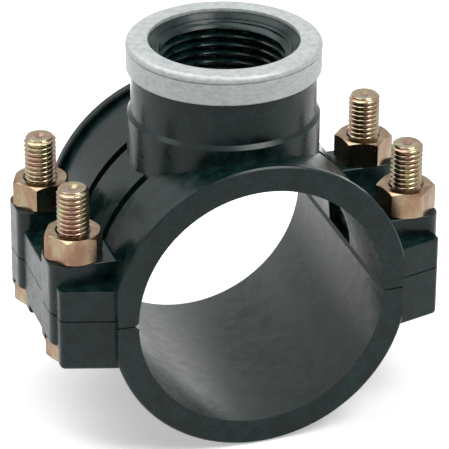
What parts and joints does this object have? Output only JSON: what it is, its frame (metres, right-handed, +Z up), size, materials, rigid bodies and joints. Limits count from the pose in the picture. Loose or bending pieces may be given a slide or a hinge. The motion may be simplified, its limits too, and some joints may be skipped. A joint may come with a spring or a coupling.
{
  "type": "tapping saddle",
  "caption": "Two-piece bolted saddle that clamps round a plastic pipe and gives it a threaded outlet with a metal reinforcing ring.",
  "frame": {"origin": "where the pipe's axis and the outlet's axis cross", "axes": "+Y along the pipe, +Z up along the outlet, +X across to the bolts on the right"},
  "size_m": [0.1014, 0.064, 0.097],
  "materials": {
    "saddle_plastic": "fine moulded grain, charcoal black",
    "ring_steel": "satin, pale grey",
    "seal_rubber": "matte black",
    "bolt_steel": "yellow zinc plated",
    "nut_steel": "yellow zinc plated"
  },
  "bodies": {
    "root": {"upper_saddle": "saddle_plastic", "reinforcing_ring": "ring_steel", "outlet_seal": "seal_rubber"},
    "lower": {"lower_saddle": "saddle_plastic", "front_left_bolt": "bolt_steel", "front_right_bolt": "bolt_steel", "rear_left_bolt": "bolt_steel", "rear_right_bolt": "bolt_steel"},
    "front_left_nut_body": {"front_left_nut": "nut_steel"},
    "front_right_nut_body": {"front_right_nut": "nut_steel"},
    "rear_left_nut_body": {"rear_left_nut": "nut_steel"},
    "rear_right_nut_body": {"rear_right_nut": "nut_steel"}
  },
  "joints": [
    {"name": "clamp_opening", "type": "slide", "parent": "root", "child": "lower", "axis": [0, 0, -1], "range_m": [0, 0.011]},
    {"name": "front_left_nut_turn", "type": "hinge", "parent": "root", "child": "front_left_nut_body", "pos_m": [-0.0432, -0.0154, 0.0133], "axis": [0, 0, 1], "range_deg": [0, 3240]},
    {"name": "front_right_nut_turn", "type": "hinge", "parent": "root", "child": "front_right_nut_body", "pos_m": [0.0432, -0.0154, 0.0133], "axis": [0, 0, 1], "range_deg": [0, 3240]},
    {"name": "rear_left_nut_turn", "type": "hinge", "parent": "root", "child": "rear_left_nut_body", "pos_m": [-0.0432, 0.0154, 0.0133], "axis": [0, 0, 1], "range_deg": [0, 3240]},
    {"name": "rear_right_nut_turn", "type": "hinge", "parent": "root", "child": "rear_right_nut_body", "pos_m": [0.0432, 0.0154, 0.0133], "axis": [0, 0, 1], "range_deg": [0, 3240]}
  ],
  "couplings": [
    {"joint": "front_left_nut_turn", "follows": "clamp_opening", "rad_per_m": 5026.5},
    {"joint": "front_right_nut_turn", "follows": "clamp_opening", "rad_per_m": 5026.5},
    {"joint": "rear_left_nut_turn", "follows": "clamp_opening", "rad_per_m": 5026.5},
    {"joint": "rear_right_nut_turn", "follows": "clamp_opening", "rad_per_m": 5026.5}
  ]
}
